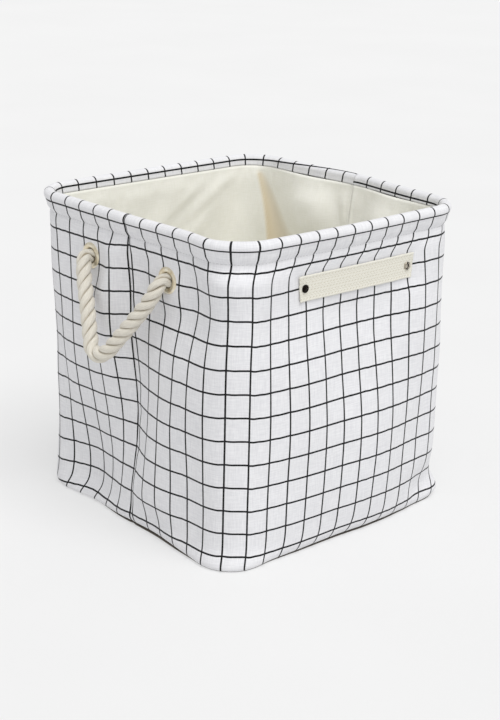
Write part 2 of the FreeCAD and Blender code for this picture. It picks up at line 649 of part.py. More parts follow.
def rivet_cap(name, end):
    """The domed head that shows on the tape."""
    body = new_body(name)
    sketch = new_sketch(body, "profile", "XZ_Plane")
    radius, rise = size("Dimensions.rivet_cap_radius"), size("Dimensions.rivet_cap_height")
    dome = (radius**2 + rise**2) / (2 * rise)
    low = math.degrees(math.asin((dome - rise) / dome))
    over = arc(sketch, (0, rise - dome), dome, low, 90)
    middle = line(sketch, (0, rise), (0, 0))
    seat = line(sketch, (0, 0), (radius, 0))
    join(sketch, (over, END, middle, START), (middle, END, seat, START), (seat, END, over, START))
    join(sketch, (middle, END, *ORIGIN))
    straighten(sketch, "Vertical", middle)
    straighten(sketch, "Horizontal", seat)
    sketch.addConstraint(Sketcher.Constraint("PointOnObject", over, CENTRE, Y_AXIS))
    drive(sketch, "DistanceX", *ORIGIN, seat, END, by="Dimensions.rivet_cap_radius")
    drive(sketch, "DistanceY", *ORIGIN, middle, START, by="Dimensions.rivet_cap_height")
    revolve(body, sketch)
    on_front_wall(body, rivet_x(end), "Dimensions.label_thickness", "Dimensions.label_height")


def rivet_post(name, end):
    """The post through the tape and the wall, with its flat foot inside the shell."""
    body = new_body(name)
    inside = "(Dimensions.canvas + Dimensions.rivet_foot_thickness)"
    primitive_on_axis(
        body,
        "AdditiveCylinder",
        "foot",
        f"-{inside}",
        Radius="Dimensions.rivet_foot_radius",
        Height="Dimensions.rivet_foot_thickness",
    )
    primitive_on_axis(
        body,
        "AdditiveCylinder",
        "post",
        f"-{inside}",
        Radius="Dimensions.rivet_post_radius",
        Height=f"{inside} + Dimensions.label_thickness",
    )
    on_front_wall(body, rivet_x(end), ZERO, "Dimensions.label_height")


# ---------------------------------------------------------------- the assembly

SIDES = {"front": -1, "back": 1}
ENDS = {"left": -1, "right": 1}
CANVAS, LINING = "Dimensions.canvas", "Dimensions.lining"

for side_name, side_sign in SIDES.items():
    outer_wall(f"outer_{side_name}_panel", side_sign)
    lining_wall(f"lining_{side_name}_panel", side_sign)
flat_base("outer_base_panel", CANVAS, ZERO)
flat_base("lining_base_panel", LINING, "Dimensions.canvas + Dimensions.seam_gap")
rim_wire()
rim_wire_sleeve()
for end_name, end_sign in ENDS.items():
    rope_handle(f"rope_handle_{end_name}", end_sign)
    for side_name, side_sign in SIDES.items():
        where = f"{end_name}_{side_name}"
        eyelet(f"eyelet_{where}", end_sign, side_sign)
        eyelet_washer(f"eyelet_washer_{where}", end_sign, side_sign)
        rope_end(f"rope_end_{where}", end_sign, side_sign)
    rivet_cap(f"label_rivet_cap_{end_name}", end_sign)
    rivet_post(f"label_rivet_post_{end_name}", end_sign)
label_tape()
doc.recompute()

for obj in doc.Objects:
    if "Invalid" in obj.State or "Error" in obj.State:
        raise RuntimeError(f"{obj.Name} failed: {obj.State}")
for part in PARTS:
    if part.Shape.isNull() or not part.Shape.isValid() or len(part.Shape.Solids) != 1:
        raise RuntimeError(f"{part.Label} isn't one valid solid")

os.makedirs("parts", exist_ok=True)
for part in PARTS:
    part.Shape.exportStep(f"parts/{part.Label}.step")
print(f"{len(PARTS)} parts written")
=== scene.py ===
import math

import bmesh
import bpy
import numpy as np
from mathutils import Matrix, Vector


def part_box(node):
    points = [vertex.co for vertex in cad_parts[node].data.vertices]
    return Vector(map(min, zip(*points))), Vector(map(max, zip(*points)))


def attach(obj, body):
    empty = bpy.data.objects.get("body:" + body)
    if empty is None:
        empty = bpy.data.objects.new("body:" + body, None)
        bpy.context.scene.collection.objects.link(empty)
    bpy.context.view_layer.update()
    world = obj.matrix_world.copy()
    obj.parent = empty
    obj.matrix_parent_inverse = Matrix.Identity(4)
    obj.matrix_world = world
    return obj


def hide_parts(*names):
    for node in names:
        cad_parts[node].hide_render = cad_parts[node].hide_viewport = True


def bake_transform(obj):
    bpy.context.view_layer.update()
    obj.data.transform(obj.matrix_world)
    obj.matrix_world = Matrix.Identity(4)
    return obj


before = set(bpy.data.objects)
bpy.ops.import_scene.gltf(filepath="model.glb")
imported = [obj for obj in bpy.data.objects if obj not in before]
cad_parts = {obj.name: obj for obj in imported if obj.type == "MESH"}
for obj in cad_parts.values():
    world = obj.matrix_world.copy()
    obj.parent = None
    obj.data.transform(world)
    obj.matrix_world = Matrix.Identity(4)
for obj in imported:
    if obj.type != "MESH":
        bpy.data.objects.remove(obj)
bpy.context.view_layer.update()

# A fabric storage bin in metres, +Z up, standing on Z = 0. The label is on the -Y wall and the rope
# handles are on the -X and +X walls. The walls are described by two coordinates: s runs along the
# plan of the walls from the seam in the -X wall round by the front, and z is the height.

# ---------------------------------------------------------------- sizes, repeated from part.py

ROLL = 0.0062  # outside radius of the rolled hem
ROLL_INSET = 0.0012  # the roll's centre, in from the walls' face
shell_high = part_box("outer_front_panel")[1]
WALL = shell_high.x - (ROLL - ROLL_INSET)  # from the middle to the walls' face
TOP = shell_high.z
ROLL_Z = TOP - ROLL
CORNER = 0.042  # plan radius of the corners
CANVAS = 0.0012
LINING = 0.0008
FOOT_CURVE = 0.012  # radius where a wall turns under
FOOT_MARGIN = 0.020  # how far the turned edge runs in under the bin
HEM_Z = TOP - 0.024  # the hem's stitch line
HEM_FACE = -ROLL_INSET - ROLL  # where the hem hangs inside, in from the walls' face
LIP = 0.0013  # radius of the fold at the hem's inner edge
LIP_Z = TOP - 0.0107  # where that fold starts
LINING_TOP = TOP - 0.0122  # where the lining is sewn in, just under that fold
GAP = 0.00005  # between layers of cloth that touch
ROPE = 0.015  # rope diameter
EYELET_Y = 0.0625  # to each side of a side wall's middle
EYELET_Z = 0.288
HINGE_OUT = 0.010  # the line that a handle turns about, out from the wall's face
HANDLE_LEAN = math.radians(16)  # how far a handle hangs out from straight down
KNOT_DEPTH = 0.0105  # where a rope ends, in from the wall's face
LABEL_LOW, LABEL_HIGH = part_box("label_tape")

# The handle's centreline below its hinge line, from the front end to the lowest fold: along Y, and
# down the loop's own plane. The other half is its mirror image.
HALF_LOOP = [(0.0625, 0.0), (0.0575, 0.018), (0.041, 0.045), (0.024, 0.0705), (0.010, 0.091)]
# How far towards the back each of those points has slipped, on the front half and on the back half.
# part.py has the loop without this slip.
FRONT_SLIP = [0.0, 0.0005, 0.0020, 0.0035, 0.0065]
BACK_SLIP = [0.0, -0.0025, -0.0010, 0.0025, 0.0055]
LOWEST = 0.0015  # and how much lower the lowest fold hangs for it

STRAIGHT = WALL - CORNER  # half the flat length of a wall
SIDE = 2 * STRAIGHT + CORNER * math.pi / 2
ROUND = 4 * SIDE  # once round the walls
SEAM_LEFT, SEAM_RIGHT = 0.0, ROUND / 2
EYELETS = [seam + side * EYELET_Y for seam in (SEAM_LEFT, SEAM_RIGHT) for side in (-1, 1)]  # their s
GRID = 0.025  # pitch of the printed squares
GRID_FROM = 0.147  # s of the printed line on the front left corner
RIM_LINE = -math.radians(17)  # where the highest printed line lies on the roll

HOLE = 0.0102  # radius of the cloth that is cut away behind an eyelet
LABEL_RIVET = 0.009  # a label rivet's place, in from the tape's end
SLACK_TOP = 0.300  # height above which the walls' bulges die out
WIRE_REACH = 0.255  # height above which the walls follow the rim's wire
LINING_FREE = 0.225  # height below which the lining leaves the slope of the hem
WALL_STEP = 0.0034  # height of a wall's cells
WALL_COLUMNS = 251  # columns of points in half of the way round

# The soft shape of the walls: (s, z, reach along s, reach along z, how far out). The rows up to the
# left back corner, all of RIM_BENDS but its last row, and the offsets on the walls in front_print and
# back_print are the rounded output of a scratch program that fitted them to the printed lines in the
# photograph. The other rows were made up.
BULGES = [
    (0.333, 0.109, 0.082, 0.113, 0.0162),  # the front wall's belly
    (0.232, 0.131, 0.051, 0.158, 0.0100),
    (0.408, 0.223, 0.033, 0.085, 0.0066),
    (0.288, 0.262, 0.092, 0.039, -0.0052),
    (0.444, 0.024, 0.030, 0.023, -0.0095),  # drawn in beside the right front corner's foot
    (0.489, 0.009, 0.027, 0.019, 0.0130),  # the flare of that foot
    (0.155, 0.277, 0.031, 0.072, 0.0134),  # the left front corner, square at the top
    (0.155, 0.036, 0.027, 0.138, 0.0068),
    (0.145, -0.011, 0.063, 0.018, 0.0200),
    (0.102, 0.174, 0.053, 0.087, 0.0102),  # the front half of the left wall
    (0.097, 0.264, 0.083, 0.037, -0.0112),
    (0.035, 0.014, 0.038, 0.022, -0.0092),
    (0.010, 0.038, 0.069, 0.111, 0.0135),
    (-0.010, 0.104, 0.045, 0.108, -0.0236),  # the valley along the left seam
    (-0.034, 0.225, 0.027, 0.104, 0.0130),
    (-0.083, 0.034, 0.053, 0.102, -0.0294),  # the hollow at the foot of its back half
    (-0.079, -0.013, 0.048, 0.018, 0.0260),
    (-0.114, -0.017, 0.048, 0.019, 0.0120),
    (-0.141, 0.119, 0.031, 0.126, -0.0139),  # the left back corner, pulled in
    (0.560, 0.120, 0.045, 0.080, 0.0070),  # the right wall
    (SEAM_RIGHT, 0.130, 0.030, 0.090, -0.0090),
    (0.700, 0.085, 0.050, 0.070, 0.0090),
    (0.780, 0.150, 0.030, 0.110, 0.0060),
    (0.850, 0.060, 0.040, 0.060, -0.0070),  # the back wall
    (0.935, 0.130, 0.090, 0.100, 0.0130),
    (1.020, 0.230, 0.050, 0.050, 0.0050),
]
# How the rim's wire is out of its nominal plan: (s, reach, how far out).
RIM_BENDS = [
    (0.000, 0.081, 0.0027),
    (0.128, 0.025, 0.0040),
    (0.296, 0.107, 0.0045),
    (0.471, 0.038, -0.0007),
    (SEAM_RIGHT, 0.060, 0.0090),
]
# Where the turned edge stands off the floor: (s, reach, how high).
FOOT_LIFTS = [(0.045, 0.070, 0.0028), (-0.075, 0.045, 0.0018), (0.330, 0.110, 0.0010), (0.640, 0.080, 0.0015)]


# ---------------------------------------------------------------- camera and light


def make_camera():
    """The photograph's camera, as solved from the crossings of the printed lines."""
    azimuth, elevation, roll = math.radians(43.12), math.radians(17.83), math.radians(1.67)
    forward = Vector((
        math.sin(azimuth) * math.cos(elevation),
        math.cos(azimuth) * math.cos(elevation),
        -math.sin(elevation),
    ))
    level = forward.cross(Vector((0, 0, 1))).normalized()
    right = Matrix.Rotation(-roll, 3, forward) @ level
    up = right.cross(forward)
    data = bpy.data.cameras.new("camera")
    data.lens = 89.9
    data.clip_end = 100
    camera = bpy.data.objects.new("camera", data)
    camera.matrix_world = Matrix((right, up, -forward)).transposed().to_4x4()
    camera.location = (-1.298, -1.398, 0.769)
    bpy.context.scene.collection.objects.link(camera)
    bpy.context.scene.camera = camera


def make_studio():
    """An even pale surround, a soft key light from in front of the label, and a pale floor."""
    world = bpy.data.worlds.new("studio")
    world.use_nodes = True
    surround = world.node_tree.nodes["Background"]
    surround.inputs["Color"].default_value = (1.0, 1.0, 1.0, 1)
    surround.inputs["Strength"].default_value = 0.63
    bpy.context.scene.world = world
    bpy.context.scene.view_settings.view_transform = "Standard"
    sun = bpy.data.lights.new("key", "SUN")
    sun.energy = 1.9
    sun.angle = math.radians(45)
    key = bpy.data.objects.new("key", sun)
    key.rotation_euler = Vector((0.10, 0.53, -1.0)).to_track_quat("-Z", "Y").to_euler()
    bpy.context.scene.collection.objects.link(key)
    bpy.ops.mesh.primitive_grid_add(x_subdivisions=2, y_subdivisions=2, size=60)
    floor = bpy.context.object
    floor.name = "floor"
    floor.data.materials.append(floor_material())
    # a dark sheet of painted shadow under the bin, seen in the gap under its foot
    s = np.linspace(0, ROUND, 241)[:-1]
    point, outward = plan(s)
    edge = point + outward * (wall_offset(s, np.full(s.shape, 0.004)) - 0.0065)[:, None]
    verts = np.concatenate([edge, np.full((len(s), 1), 0.00001)], 1)
    dark = add_object("painted_shadow_under_bin", verts, [list(range(len(s)))], shade_material())


# ---------------------------------------------------------------- materials


class Nodes:
    """A material's node tree, built by short calls."""

    def __init__(self, name):
        self.material = bpy.data.materials.new(name)
        self.material.use_nodes = True
        self.tree = self.material.node_tree
        self.shader = self.tree.nodes["Principled BSDF"]

    def link(self, source, target):
        self.tree.links.new(source, target)

    def add(self, kind, inputs=None, **settings):
        """A new node. Its inputs are values or other nodes' outputs."""
        node = self.tree.nodes.new(f"ShaderNode{kind}")
        for key, value in settings.items():
            setattr(node, key, value)
        for key, value in (inputs or {}).items():
            if isinstance(value, bpy.types.NodeSocket):
                self.link(value, node.inputs[key])
            else:
                node.inputs[key].default_value = value
        return node

    def calc(self, operation, a, b=0.0, c=0.0):
        """The result of a sum."""
        return self.add("Math", {0: a, 1: b, 2: c}, operation=operation).outputs[0]

    def ramp(self, value, low, high, start=0.0, end=1.0):
        """Value from low to high, eased and turned into start to end."""
        inputs = {"Value": value, "From Min": low, "From Max": high, "To Min": start, "To Max": end}
        return self.add("MapRange", inputs, interpolation_type="SMOOTHSTEP").outputs["Result"]

    def noise(self, vector, scale, detail=2.0, stretch=(1, 1, 1)):
        """Noise over the vector, which is stretched first."""
        mapped = self.add("Mapping", {"Vector": vector, "Scale": stretch}).outputs[0]
        inputs = {"Vector": mapped, "Scale": scale, "Detail": detail}
        return self.add("TexNoise", inputs).outputs["Fac"]

    def mix(self, share, a, b):
        """A colour from a to b."""
        node = self.add("Mix", data_type="RGBA")
        for socket, value in zip((node.inputs[0], node.inputs[6], node.inputs[7]), (share, a, b)):
            if isinstance(value, bpy.types.NodeSocket):
                self.link(value, socket)
            else:
                socket.default_value = value
        return node.outputs[2]

    def cloth_axes(self):
        """The two coordinates along the cloth, in metres, and the vector of both."""
        vector = self.add("Attribute", attribute_name="cloth").outputs["Vector"]
        parts = self.add("SeparateXYZ", {0: vector})
        return parts.outputs[0], parts.outputs[1], vector

    def bump(self, height, distance, strength=1.0, below=None):
        inputs = {"Height": height, "Distance": distance, "Strength": strength}
        if below is not None:
            inputs["Normal"] = below
        return self.add("Bump", inputs).outputs["Normal"]

    def finish(self, **inputs):
        """Set the shader's inputs. The material is ready."""
        for key, value in inputs.items():
            socket = self.shader.inputs[key.replace("_", " ")]
            if isinstance(value, bpy.types.NodeSocket):
                self.link(value, socket)
            else:
                socket.default_value = value
        return self.material


def colour(red, green, blue):
    """A colour from its 0 to 255 display values."""
    def linear(c):
        c /= 255
        return c / 12.92 if c <= 0.04045 else ((c + 0.055) / 1.055) ** 2.4
    return (linear(red), linear(green), linear(blue), 1)


def floor_material():
    """Back-lit white paper, so that shadows on it stay faint."""
    nodes = Nodes("floor_paper")
    place = nodes.add("TexCoord").outputs["Object"]
    grain = nodes.noise(place, 3.0)
    shade = nodes.mix(nodes.ramp(grain, 0.3, 0.7), colour(166, 166, 166), colour(168, 168, 168))
    return nodes.finish(
        Base_Color=shade,
        Roughness=0.9,
        Specular_IOR_Level=0.1,
        Emission_Color=(1, 1, 1, 1),
        Emission_Strength=0.45,
    )


def shade_material():
    """Painted shadow: the same paper, darkened where the bin stands on it and no light comes through."""
    nodes = Nodes("floor_shade")
    grain = nodes.noise(nodes.add("TexCoord").outputs["Object"], 60.0)
    shade = nodes.mix(nodes.ramp(grain, 0.3, 0.7), colour(120, 114, 104), colour(132, 126, 116))
    return nodes.finish(Base_Color=shade, Roughness=0.9, Specular_IOR_Level=0.1)


def weave(nodes, u, v, pitch, height, below=None):
    """The bump of a plain weave: threads that pass over and under each other."""
    across = nodes.calc("SINE", nodes.calc("MULTIPLY", u, math.pi / pitch))
    along = nodes.calc("SINE", nodes.calc("MULTIPLY", v, math.pi / pitch))
    over = nodes.calc("MULTIPLY", across, along)
    ridge = nodes.calc("MAXIMUM", nodes.calc("ABSOLUTE", across), nodes.calc("ABSOLUTE", along))
    relief = nodes.calc("MULTIPLY_ADD", over, 0.35, ridge)
    return nodes.bump(relief, height, below=below)


def canvas_material():
    """White canvas with a thin black square grid printed on it."""
    line_core, line_edge = 0.041, 0.049  # half a printed line's width, in squares: full ink, no ink
    nodes = Nodes("printed_canvas")
    u, v, place = nodes.cloth_axes()
    wander = nodes.noise(place, 260.0, 3.0)
    nearest = None
    for axis in (u, v):
        cell = nodes.calc("DIVIDE", axis, GRID)
        away = nodes.calc("ABSOLUTE", nodes.calc("SUBTRACT", cell, nodes.calc("ROUND", cell)))
        nearest = away if nearest is None else nodes.calc("MINIMUM", nearest, away)
    away = nodes.calc("MULTIPLY_ADD", wander, 0.010, nearest)
    ink = nodes.ramp(away, line_core, line_edge, 1.0, 0.0)
    slub_u = nodes.noise(place, 1.0, 3.0, (60, 900, 1))
    slub_v = nodes.noise(place, 1.0, 3.0, (900, 60, 1))
    slubs = nodes.calc("ADD", slub_u, slub_v)
    cloth = nodes.mix(nodes.ramp(slubs, 0.75, 1.3), colour(222, 222, 225), colour(236, 236, 238))
    blotch = nodes.ramp(nodes.noise(place, 14.0, 3.0), 0.35, 0.7)
    cloth = nodes.mix(nodes.calc("MULTIPLY", blotch, 0.25), cloth, colour(220, 220, 222))
    thin_ink = nodes.mix(nodes.ramp(slubs, 0.8, 1.4), colour(9, 9, 11), colour(25, 25, 28))
    base = nodes.mix(ink, cloth, thin_ink)
    rough = nodes.calc("MULTIPLY_ADD", ink, -0.12, 0.86)
    coarse = nodes.bump(slubs, 0.0002, 0.6)
    normal = weave(nodes, u, v, 0.00075, 0.00010, coarse)
    return nodes.finish(
        Base_Color=base, Roughness=rough, Normal=normal, Specular_IOR_Level=0.25, Sheen_Weight=0.08
    )


def lining_material():
    """Cream plain-weave cotton."""
    nodes = Nodes("lining_cloth")
    u, v, place = nodes.cloth_axes()
    slubs = nodes.calc(
        "ADD", nodes.noise(place, 1.0, 3.0, (70, 1000, 1)), nodes.noise(place, 1.0, 3.0, (1000, 70, 1))
    )
    tone = nodes.mix(nodes.ramp(slubs, 0.75, 1.3), colour(242, 241, 232), colour(248, 247, 240))
    hollow_shade = nodes.add("Attribute", attribute_name="depth").outputs["Fac"]
    # painted shade, warm with light bounced off the cotton, in the corner fold's hollow
    tone = nodes.mix(hollow_shade, tone, colour(212, 197, 166))
    normal = weave(nodes, u, v, 0.0006, 0.00005, nodes.bump(slubs, 0.00008, 0.5))
    return nodes.finish(
        Base_Color=tone, Roughness=0.9, Normal=normal, Specular_IOR_Level=0.2, Sheen_Weight=0.1
    )


def rope_material():
    """Natural cotton yarn: fine fibres along each strand, and painted shade where strands meet."""
    nodes = Nodes("cotton_rope")
    place = nodes.cloth_axes()[2]
    fibres = nodes.noise(place, 1.0, 4.0, (140, 2600, 1))
    tone = nodes.mix(nodes.ramp(fibres, 0.3, 0.72), colour(205, 199, 186), colour(229, 225, 214))
    depth = nodes.add("Attribute", attribute_name="depth").outputs["Fac"]
    # painted shade in the crevices between the strands
    tone = nodes.mix(nodes.ramp(depth, 0.35, 1.0, 0.0, 0.8), tone, colour(176, 160, 132))
    normal = nodes.bump(fibres, 0.0003, 0.8)
    return nodes.finish(
        Base_Color=tone, Roughness=0.92, Normal=normal, Specular_IOR_Level=0.15, Sheen_Weight=0.2
    )


def webbing_material():
    """Natural cotton tape with painted shade in the hollows of its weave, which is in the mesh."""
    nodes = Nodes("cotton_webbing")
    place = nodes.cloth_axes()[2]
    thread = nodes.noise(place, 1.0, 3.0, (300, 1800, 1))
    relief = nodes.add("Attribute", attribute_name="depth").outputs["Fac"]
    tone = nodes.mix(nodes.ramp(thread, 0.3, 0.7), colour(217, 214, 202), colour(229, 227, 217))
    # painted shade in the grooves of the weave
    tone = nodes.mix(nodes.ramp(relief, 0.25, 0.95, 0.0, 0.75), tone, colour(192, 184, 162))
    normal = nodes.bump(thread, 0.0002, 0.7)
    return nodes.finish(
        Base_Color=tone, Roughness=0.88, Normal=normal, Specular_IOR_Level=0.2, Sheen_Weight=0.1
    )


def thread_material():
    """Grey sewing thread."""
    nodes = Nodes("sewing_thread")
    place = nodes.add("TexCoord").outputs["Object"]
    fuzz = nodes.noise(place, 3000.0, 2.0)
    tone = nodes.mix(nodes.ramp(fuzz, 0.3, 0.7), colour(190, 190, 192), colour(216, 216, 218))
    return nodes.finish(Base_Color=tone, Roughness=0.7, Normal=nodes.bump(fuzz, 0.0001))


def metal_material(name, tint, dark, roughness, painted_flank=None):
    """Plated metal with fine scratches and uneven tarnish. The optional last argument paints a highlight
    or shade on the flank that faces +X: its colour, the slope where it starts and where it is full."""
    nodes = Nodes(name)
    place = nodes.add("TexCoord").outputs["Object"]
    tarnish = nodes.ramp(nodes.noise(place, 120.0, 4.0), 0.35, 0.7)
    scratches = nodes.noise(place, 1.0, 4.0, (500, 5000, 500))
    tone = nodes.mix(tarnish, tint, dark)
    if painted_flank is not None:
        flank, start, full = painted_flank
        # painted highlight or painted shade on the flank that faces +X
        slope = nodes.add("SeparateXYZ", {0: nodes.add("NewGeometry").outputs["Normal"]}).outputs[0]
        tone = nodes.mix(nodes.ramp(slope, start, full), tone, flank)
    rough = nodes.ramp(scratches, 0.3, 0.7, roughness, roughness + 0.14)
    normal = nodes.bump(scratches, 0.00003, 0.5)
    return nodes.finish(Base_Color=tone, Metallic=1.0, Roughness=rough, Normal=normal)


# ---------------------------------------------------------------- the walls' shape


def ease(t):
    """0 to 1, smoothly, as t goes from 0 to 1."""
    t = np.clip(t, 0.0, 1.0)
    return t * t * (3 - 2 * t)


def value_noise(u, v, cell, seed):
    """Smooth random values from -1 to 1 over a surface, changing once a cell."""
    table = np.random.default_rng(seed).uniform(-1, 1, (64, 64))
    x, y = np.broadcast_arrays(np.asarray(u) / cell, np.asarray(v) / cell)
    i, j = np.floor(x).astype(int), np.floor(y).astype(int)
    a, b = ease(x - i), ease(y - j)
    pick = lambda k, m: table[(j + m) % 64, (i + k) % 64]
    return (pick(0, 0) * (1 - a) + pick(1, 0) * a) * (1 - b) + (pick(0, 1) * (1 - a) + pick(1, 1) * a) * b


def around(s, middle):
    """How far s is from the middle, the short way round the walls."""
    return np.mod(s - middle + ROUND / 2, ROUND) - ROUND / 2


def plan(s):
    """The nominal plan of the walls' outer face at s: its points and outward directions."""
    t = np.mod(s + STRAIGHT, ROUND)
    wall = np.floor(t / SIDE)
    along = t - wall * SIDE
    turn = np.maximum(along - 2 * STRAIGHT, 0) / CORNER
    along = np.minimum(along, 2 * STRAIGHT)
    x = -WALL + CORNER * (1 - np.cos(turn))
    y = STRAIGHT - along - CORNER * np.sin(turn)
    c, n = np.cos(wall * math.pi / 2), np.sin(wall * math.pi / 2)
    point = np.stack([c * x - n * y, n * x + c * y], -1)
    out = np.stack([-c * np.cos(turn) + n * np.sin(turn), -n * np.cos(turn) - c * np.sin(turn)], -1)
    return point, out


def fittings_mask(s, z):
    """0 where an eyelet or the label has to lie flat on its wall, rising to 1 around them."""
    free = np.ones(np.broadcast(s, z).shape)
    for eyelet in EYELETS:
        apart = np.hypot(around(s, eyelet), z - EYELET_Z)
        free = free * ease((apart - 0.014) / 0.032)
    label_s = SEAM_RIGHT / 2 + (LABEL_LOW.x + LABEL_HIGH.x) / 2
    beside = np.abs(around(s, label_s)) - (LABEL_HIGH.x - LABEL_LOW.x) / 2
    above = np.abs(z - (LABEL_LOW.z + LABEL_HIGH.z) / 2) - (LABEL_HIGH.z - LABEL_LOW.z) / 2
    apart = np.hypot(np.maximum(beside, 0), np.maximum(above, 0))
    return free * ease((apart + 0.002) / 0.022)


def hem_crease(z):
    """How deep the stitch line pulls the wall in: a long slope below it and a short one above."""
    below, above = 1 - (HEM_Z - z) / 0.016, 1 - (z - HEM_Z) / 0.0048
    return 0.0019 * np.clip(np.minimum(below, above), 0, 1)


def wall_offset(s, z):
    """How far the cloth is out of its nominal face at s and z: its bulges, the bends of its rim, then
    creases, the stitched hem's line and puckers, and the seams' grooves and pulls."""
    s, z = np.broadcast_arrays(np.asarray(s, float), np.asarray(z, float))
    out = np.zeros(s.shape)
    for middle, height, reach, tall, amount in BULGES:
        out += amount * np.exp(-((around(s, middle) / reach) ** 2) - ((z - height) / tall) ** 2)
    out *= 1 - ease((z - SLACK_TOP) / (HEM_Z - SLACK_TOP))
    rim = sum(amount * np.exp(-((around(s, middle) / reach) ** 2)) for middle, reach, amount in RIM_BENDS)
    out += rim * ease((z - WIRE_REACH) / (ROLL_Z - WIRE_REACH))
    below_hem = ease((HEM_Z - z) / 0.02)
    seam = np.minimum(np.abs(around(s, SEAM_LEFT)), np.abs(around(s, SEAM_RIGHT)))
    creases = 0.0007 * value_noise(s, z, 0.045, 3) + 0.0004 * value_noise(s, z * 0.6, 0.019, 5)
    out += creases * (0.35 + 0.65 * below_hem) * ease(seam / 0.01)
    out -= hem_crease(z)
    puckers = 0.0007 * value_noise(s, z * 0.2, 0.006, 8) * np.exp(-(((z - HEM_Z) / 0.007) ** 2))
    out += puckers * ease(seam / 0.006)
    out -= 0.0016 * np.exp(-((seam / 0.0028) ** 2)) * ease((seam + 0.004) / 0.004)
    pulls = 0.0009 * value_noise(z, s * 0, 0.013, 12) * np.exp(-((seam / 0.016) ** 2))
    out += pulls * ease(seam / 0.004) * below_hem
    return out * fittings_mask(s, z)


def foot_lift(s, z, out):
    """How far the turned edge stands off the floor between the corners."""
    lift = 0.0
    for middle, reach, amount in FOOT_LIFTS:
        lift = lift + amount * np.exp(-((around(s, middle) / reach) ** 2))
    return lift * ease((out + 0.019) / 0.008) * (1 - ease(z / 0.06))


def wall_point(s, z, out):
    """Points at s and z that stand so far out of the cloth's face."""
    s, z, out = np.broadcast_arrays(s, z, out)
    point, outward = plan(s)
    far = wall_offset(s, z) + out
    height = z + foot_lift(s, z, out)
    return np.concatenate([point + outward * far[..., None], height[..., None]], -1)


def running(points, axis):
    """The distance along the rows or the columns of a grid of points."""
    steps = np.linalg.norm(np.diff(points, axis=axis), axis=2)
    first = np.zeros_like(np.take(steps, [0], axis))
    return np.cumsum(np.concatenate([first, steps], axis), axis)


# ---------------------------------------------------------------- meshes


def add_object(name, verts, faces, material, attributes=None):
    """A smooth mesh object from arrays, its faces turned outward."""
    mesh = bpy.data.meshes.new(name)
    mesh.from_pydata(np.asarray(verts).tolist(), [], faces)
    work = bmesh.new()
    work.from_mesh(mesh)
    bmesh.ops.recalc_face_normals(work, faces=work.faces)
    work.to_mesh(mesh)
    work.free()
    for key, values in (attributes or {}).items():
        values = np.asarray(values, np.float32)
        if values.ndim == 1:
            mesh.attributes.new(key, "FLOAT", "POINT").data.foreach_set("value", values)
        else:
            flat = np.zeros((len(values), 3), np.float32)
            flat[:, : values.shape[1]] = values
            mesh.attributes.new(key, "FLOAT_VECTOR", "POINT").data.foreach_set("vector", flat.ravel())
    mesh.materials.append(material)
    mesh.shade_smooth()
    obj = bpy.data.objects.new(name, mesh)
    bpy.context.scene.collection.objects.link(obj)
    return obj


def grid_faces(rows, columns, close_rows=False, close_columns=False, skip=None):
    """The quads of a grid of points, row by row."""
    r = np.arange(rows if close_rows else rows - 1)
    c = np.arange(columns if close_columns else columns - 1)
    r, c = (a.ravel() for a in np.meshgrid(r, c, indexing="ij"))
    if skip is not None:
        keep = ~skip[r, c]
        r, c = r[keep], c[keep]
    below, right = (r + 1) % rows, (c + 1) % columns
    corners = (r * columns + c, r * columns + right, below * columns + right, below * columns + c)
    return np.stack(corners, 1).tolist()


def two_layer_faces(rows, columns):
    """The faces of a sheet whose two sides are grids of points, joined all round their border."""
    size = rows * columns
    faces = grid_faces(rows, columns)
    faces += [[i + size for i in face[::-1]] for face in faces]
    border = list(range(columns)) + [r * columns + columns - 1 for r in range(1, rows)]
    border += [(rows - 1) * columns + c for c in range(columns - 2, -1, -1)]
    border += [r * columns for r in range(rows - 2, 0, -1)]
    for a, b in zip(border, border[1:] + border[:1]):
        faces.append([a, b, b + size, a + size])
    return faces


def tube_faces(rows, turns, base=0):
    """The faces of a tube made of rings of points and closed at both ends, from point base on."""
    faces = grid_faces(rows, turns, close_columns=True)
    faces += [list(range(turns)), [(rows - 1) * turns + k for k in range(turns)]]
    return [[base + i for i in face] for face in faces]


def declare(obj, body, slot, *nodes):
    """Say which body a piece rides on and the CAD nodes that it stands for. Its material slot is not used."""
    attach(obj, body)
    if nodes:
        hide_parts(*nodes)
    return obj


# ---------------------------------------------------------------- outer shell


def wall_heights(low, high):
    """Even heights from low to high."""
    return np.linspace(low, high, max(2, round((high - low) / WALL_STEP) + 1))


